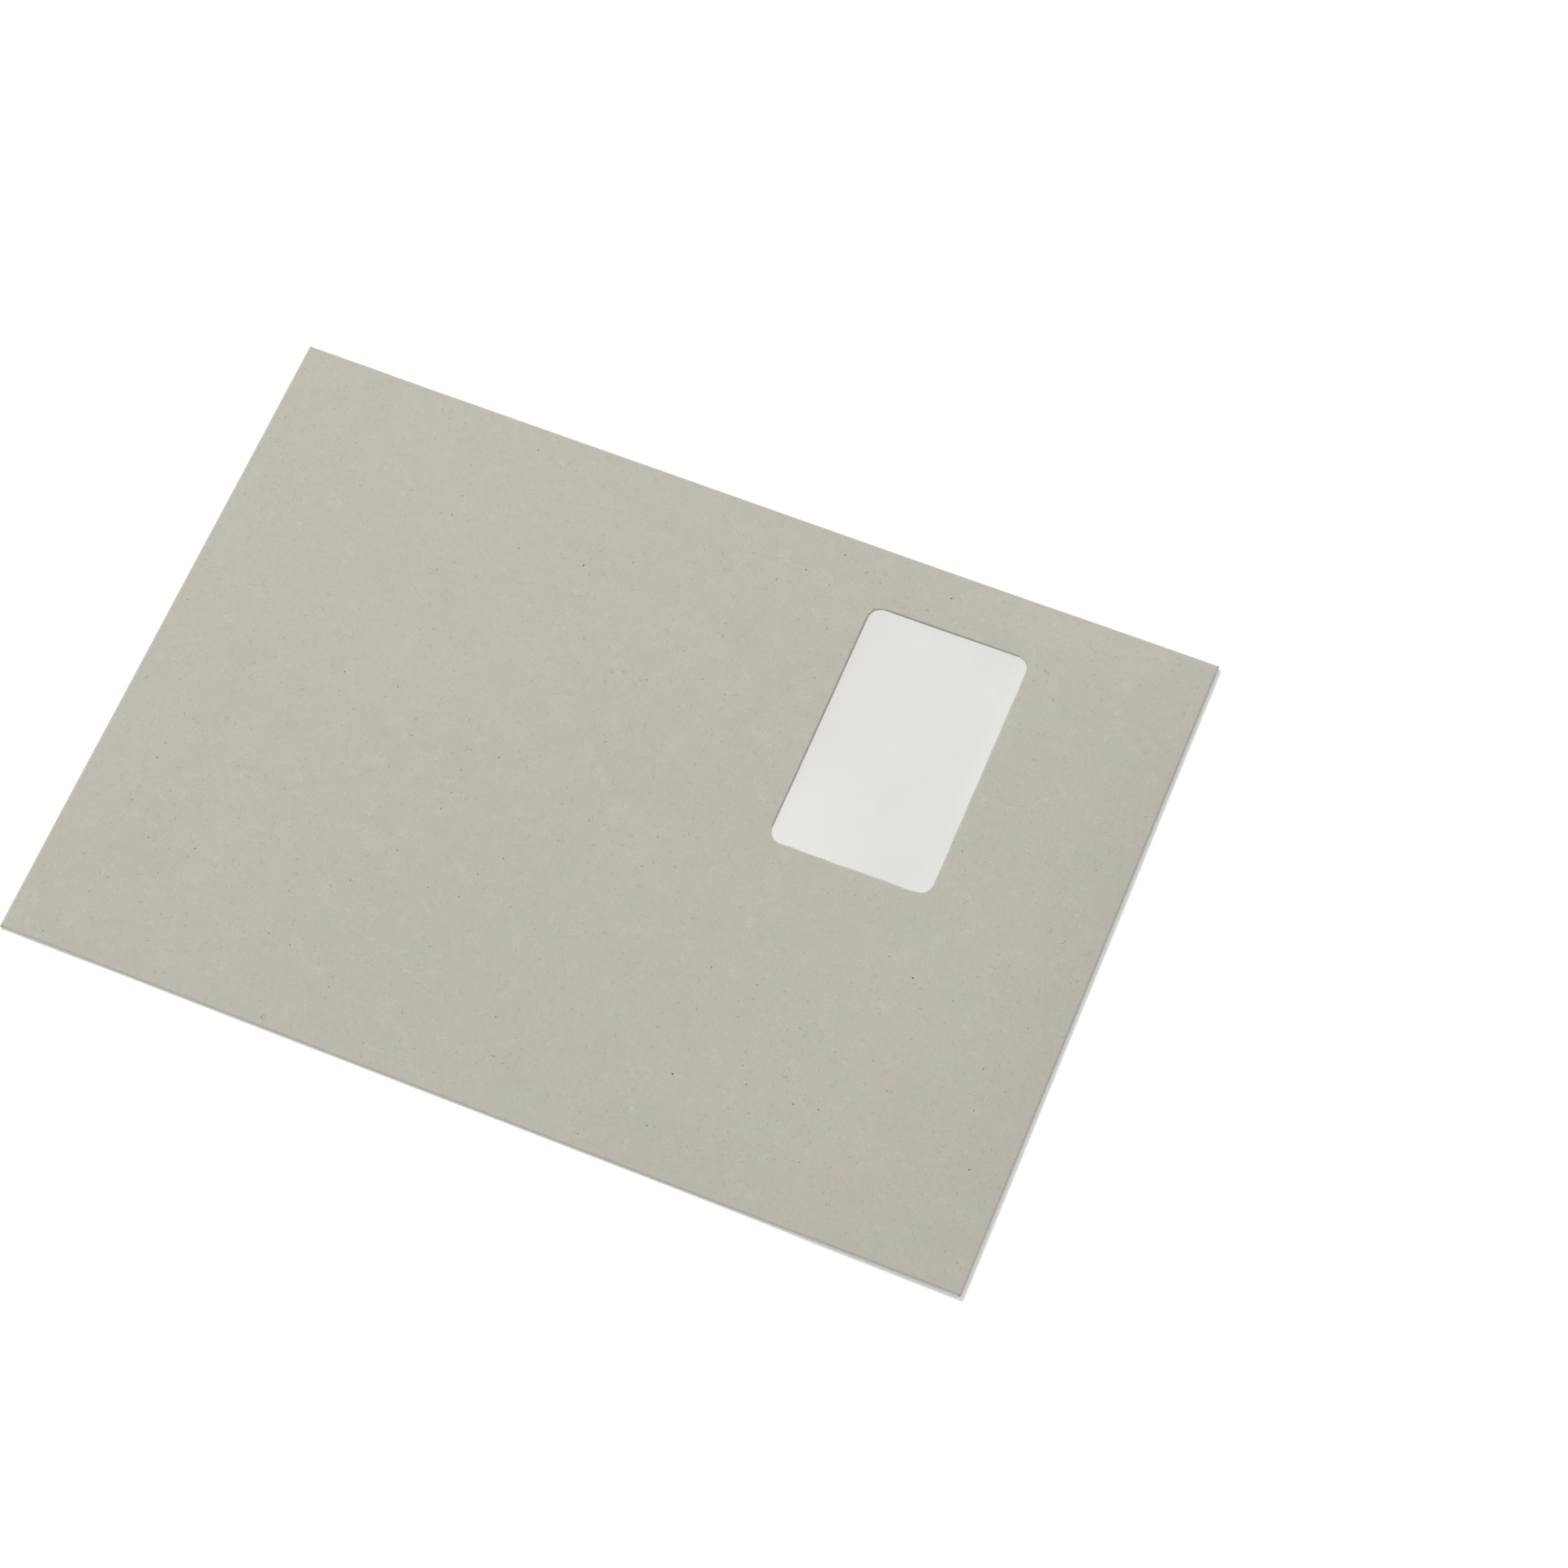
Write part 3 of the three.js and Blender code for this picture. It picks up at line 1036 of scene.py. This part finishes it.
@dataclass
class PaperBlank(Layer):
    """The folded sheet, with the lip of its window cut-out and a knife's slight waver."""

    lip_net: Pair = (0.6 * MM, 1.5 * MM)
    fold_net: float = 0.95 * MM

    def close_cuts(self, edges: Pair, folds: Pair) -> list[float]:
        """Places the extra cuts beside the window's edges and just inside the folds.

        Args:
            edges: The window's two edges along one axis.
            folds: The sheet's lower and upper fold or end along the same axis.

        Returns:
            The places of the cuts.
        """
        cuts = [edge + side * gap for edge in edges for gap in self.lip_net for side in (-1, 1)]
        return [*cuts, folds[0] + self.fold_net, folds[1] - self.fold_net]

    def lift_lip(self) -> None:
        """Lifts and wavers the front panel's cut edge round the window."""
        levels = self.relief.places
        places = vertex_places(self.piece)
        x, y, z = places[:, 0], places[:, 1], places[:, 2]
        front = (z > levels.front_inside - levels.paper / 2).astype(float)
        places[:, 2] = z + front * self.relief.lip(x, y)
        places[:, :2] += front[:, None] * self.relief.waver(places)
        set_vertex_places(self.piece, places)

    def build(self) -> bpy.types.Object:
        """Copies, nets, shapes and finishes the sheet.

        Returns:
            The finished piece.
        """
        places = self.relief.places
        left, right, low, high = places.window
        self.piece = self.copy_solid()
        cut_net(self.piece, self.net,
                self.close_cuts((left, right), (places.low.x, places.high.x)),
                self.close_cuts((low, high), (places.low.y, places.high.y)))
        self.lift_lip()
        self.lay()
        return self.finish()


@dataclass
class WindowFilm(Layer):
    """The sheet of glassine behind the window, slack between its glued edges."""

    corner: float = 1.5 * MM
    corner_steps: int = 4
    sag: float = 0.10 * MM
    sag_run: float = 3.2 * MM
    cockle: float = 0.05 * MM
    cockle_lengths: Triple = (31 * MM, 23 * MM, 47 * MM)
    cockle_phase: float = 0.8

    def outline(self) -> bpy.types.Object:
        """Adds the film as a plane of its real size and rounds its corners.

        Returns:
            The new piece.
        """
        low, high = self.relief.places.film_low, self.relief.places.film_high
        deselect_all()
        bpy.ops.mesh.primitive_plane_add(size=1.0, location=(0.0, 0.0, 0.0))
        piece = bpy.context.object
        piece.name = self.node + "_dressed"
        piece.data.name = piece.name
        bpy.ops.object.mode_set(mode="EDIT")
        bpy.ops.mesh.select_all(action="SELECT")
        bpy.ops.transform.resize(value=(high.x - low.x, high.y - low.y, 1.0))
        bpy.ops.transform.translate(value=((low.x + high.x) / 2, (low.y + high.y) / 2, low.z))
        bpy.ops.mesh.bevel(offset=self.corner, segments=self.corner_steps, affect="VERTICES")
        bpy.ops.object.mode_set(mode="OBJECT")
        return piece

    def thicken(self) -> None:
        """Gives the film its thickness, upwards from its lower face."""
        low, high = self.relief.places.film_low, self.relief.places.film_high
        make_active(self.piece)
        wall = self.piece.modifiers.new("thickness", "SOLIDIFY")
        wall.thickness = high.z - low.z
        wall.offset = 1.0
        bpy.ops.object.modifier_apply(modifier=wall.name)
        deselect_all()

    def slacken(self) -> None:
        """Lets the film sag and cockle between the glued edges of the window."""
        left, right, low, high = self.relief.places.window
        places = vertex_places(self.piece)
        x, y = places[:, 0], places[:, 1]
        inside = np.minimum(np.minimum(x - left, right - x), np.minimum(y - low, high - y))
        slack = smooth_step(inside, -self.sag_run / 2, self.sag_run)
        first, second, third = self.cockle_lengths
        slanting = np.sin(2 * math.pi * (x / first + y / third))
        waves = slanting * np.sin(2 * math.pi * y / second + self.cockle_phase)
        places[:, 2] -= slack * (self.sag + self.cockle * waves)
        set_vertex_places(self.piece, places)

    def build(self) -> bpy.types.Object:
        """Models, nets, slackens and finishes the film.

        Returns:
            The finished piece.
        """
        self.piece = self.outline()
        cut_net(self.piece, self.net, [], [])
        self.thicken()
        self.lay()
        self.slacken()
        return self.finish()


@dataclass(frozen=True)
class Envelope:
    """The whole envelope: the folded sheet, the film, and the glue and gum between its layers."""

    places: Places = field(default_factory=Places)
    effects: Effects = field(default_factory=Effects)
    film_net: float = 2 * MM

    def build(self) -> list[bpy.types.Object]:
        """Builds each piece in order.

        Returns:
            The finished pieces.
        """
        relief = Relief(self.places)
        left, _, low, _ = self.places.window
        paper = RecycledPaper(self.effects).build()
        # The film's painted sheen centres on the window's lower left corner, at the film's upper
        # face.
        film = Glassine(self.effects, (left, low, self.places.film_high.z)).build()
        glue = DriedGum(self.effects, "dried_paste", linear(214, 210, 198), roughness=0.55).build()
        gum = DriedGum(self.effects, "dried_latex", linear(196, 192, 179)).build()
        layers: list[Layer] = [
            PaperBlank("envelope_blank", Slot.PAPER, paper, relief),
            WindowFilm("window_film", Slot.FILM, film, relief, net=self.film_net),
            Layer("window_glue", Slot.GLUE, glue, relief),
            Layer("side_seam_glue", Slot.GLUE, glue, relief),
            Layer("bottom_flap_glue", Slot.GLUE, glue, relief),
            Layer("flap_gum_band", Slot.GUM, gum, relief),
            Layer("pocket_gum_band", Slot.GUM, gum, relief),
        ]
        return [layer.build() for layer in layers]


@dataclass(frozen=True)
class Studio:
    """A plain white floor under soft light from the upper left, and the camera.

    The floor's near glow holds round the envelope and rises to its far glow, so that the floor
    stays white to the camera at low views too. The camera's place is measured from the level at
    which the front panel has settled.
    """

    floor_size: float = 14.0
    floor_drop: float = 0.02 * MM
    floor_shade: float = 0.92
    floor_roughness: float = 0.9
    near_glow: float = 0.20
    near_reach: float = 0.35
    far_glow: float = 0.52
    far_reach: float = 2.6
    world_strength: float = 0.54
    key_power: float = 114.0
    key_size: float = 1.2
    key_distance: float = 4.2
    key_azimuth: float = 138.0
    key_height: float = 40.0
    lens: float = 94.41
    sensor: float = 36.0
    clip_start: float = 0.01
    settled: float = 0.4 * MM
    camera_place: Triple = (278.1 * MM, -490.8 * MM, 1181.7 * MM)
    camera_right: Triple = (0.9246, 0.3807, -0.0145)
    camera_forward: Triple = (-0.1759, 0.3927, -0.9027)

    def white_for_camera(self, sheet: NodeTree) -> Socket:
        """Tells what the camera sees from what only lights the scene.

        Args:
            sheet: The tree of the material or of the world.

        Returns:
            1 for what is seen straight, in gloss or through glass, and 0 for light.
        """
        path = sheet.add("ShaderNodeLightPath").outputs
        seen = sheet.math("MAXIMUM", path["Is Camera Ray"], path["Is Glossy Ray"])
        return sheet.math("MAXIMUM", seen, path["Is Transmission Ray"])

    def floor(self) -> None:
        """Adds the floor, which keeps the envelope's shadow."""
        deselect_all()
        place = (0.0, 0.0, -self.floor_drop)
        bpy.ops.mesh.primitive_plane_add(size=self.floor_size, location=place)
        plane = bpy.context.object
        plane.name = "studio_floor"
        surface = new_surface("studio_white")
        sheet = surface.sheet
        off_middle = sheet.vector_value("DISTANCE", surface.vector, (0.0, 0.0, 0.0))
        far = sheet.ramp(off_middle, self.near_reach, self.far_reach)
        sheet.feed_all(surface.shader, {
            "Base Color": grey(self.floor_shade),
            "Roughness": self.floor_roughness,
            "Specular IOR Level": 0.0,
            "Emission Color": sheet.mix(far, grey(self.near_glow), grey(self.far_glow)),
            "Emission Strength": self.white_for_camera(sheet),
        })
        plane.data.materials.append(surface.material)

    def world(self) -> None:
        """Sets an even sky that lights the scene and shows white."""
        world = bpy.data.worlds.new("studio_sky")
        world.use_nodes = True
        bpy.context.scene.world = world
        sheet = NodeTree(world.node_tree)
        seen = self.white_for_camera(sheet)
        strength = sheet.math("MULTIPLY_ADD", seen, 1.0 - self.world_strength, self.world_strength)
        sheet.feed_all(world.node_tree.nodes["Background"], {"Color": WHITE, "Strength": strength})

    def key(self) -> None:
        """Adds the soft key light, a broad square lamp at the upper left of the picture."""
        azimuth, height = math.radians(self.key_azimuth), math.radians(self.key_height)
        level = Vector((math.cos(azimuth), math.sin(azimuth), 0.0)) * math.cos(height)
        towards = level + Vector((0.0, 0.0, math.sin(height)))
        lamp = bpy.data.lights.new("key_light", "AREA")
        lamp.energy = self.key_power
        lamp.size = self.key_size
        holder = bpy.data.objects.new("key_light", lamp)
        holder.location = towards * self.key_distance
        holder.rotation_mode = "QUATERNION"
        holder.rotation_quaternion = towards.to_track_quat("Z", "Y")
        bpy.context.scene.collection.objects.link(holder)

    def camera(self, level: float) -> None:
        """Adds the camera of the photograph.

        Args:
            level: The level of the settled front panel, from which its height was measured.
        """
        data = bpy.data.cameras.new("camera")
        data.lens = self.lens
        data.sensor_width = self.sensor
        data.clip_start = self.clip_start
        holder = bpy.data.objects.new("camera", data)
        forward = Vector(self.camera_forward).normalized()
        right = Vector(self.camera_right)
        right = (right - right.dot(forward) * forward).normalized()
        turn = Matrix((right, right.cross(forward), -forward)).transposed().to_4x4()
        place = Vector(self.camera_place) + Vector((0.0, 0.0, level))
        holder.matrix_world = Matrix.Translation(place) @ turn
        bpy.context.scene.collection.objects.link(holder)
        bpy.context.scene.camera = holder

    def build(self, top: float) -> None:
        """Sets up floor, light and camera.

        Args:
            top: The level of the solid's upper face.
        """
        self.floor()
        self.world()
        self.key()
        self.camera(top - self.settled)
        bpy.context.scene.view_settings.view_transform = "Standard"


def main() -> None:
    """Builds the envelope and its studio, and reports each piece."""
    logging.basicConfig(level=logging.INFO)
    envelope = Envelope()
    pieces = envelope.build()
    Studio().build(envelope.places.high.z)
    LOG.info("%d pieces", len(pieces))


if __name__ == "__main__":
    main()
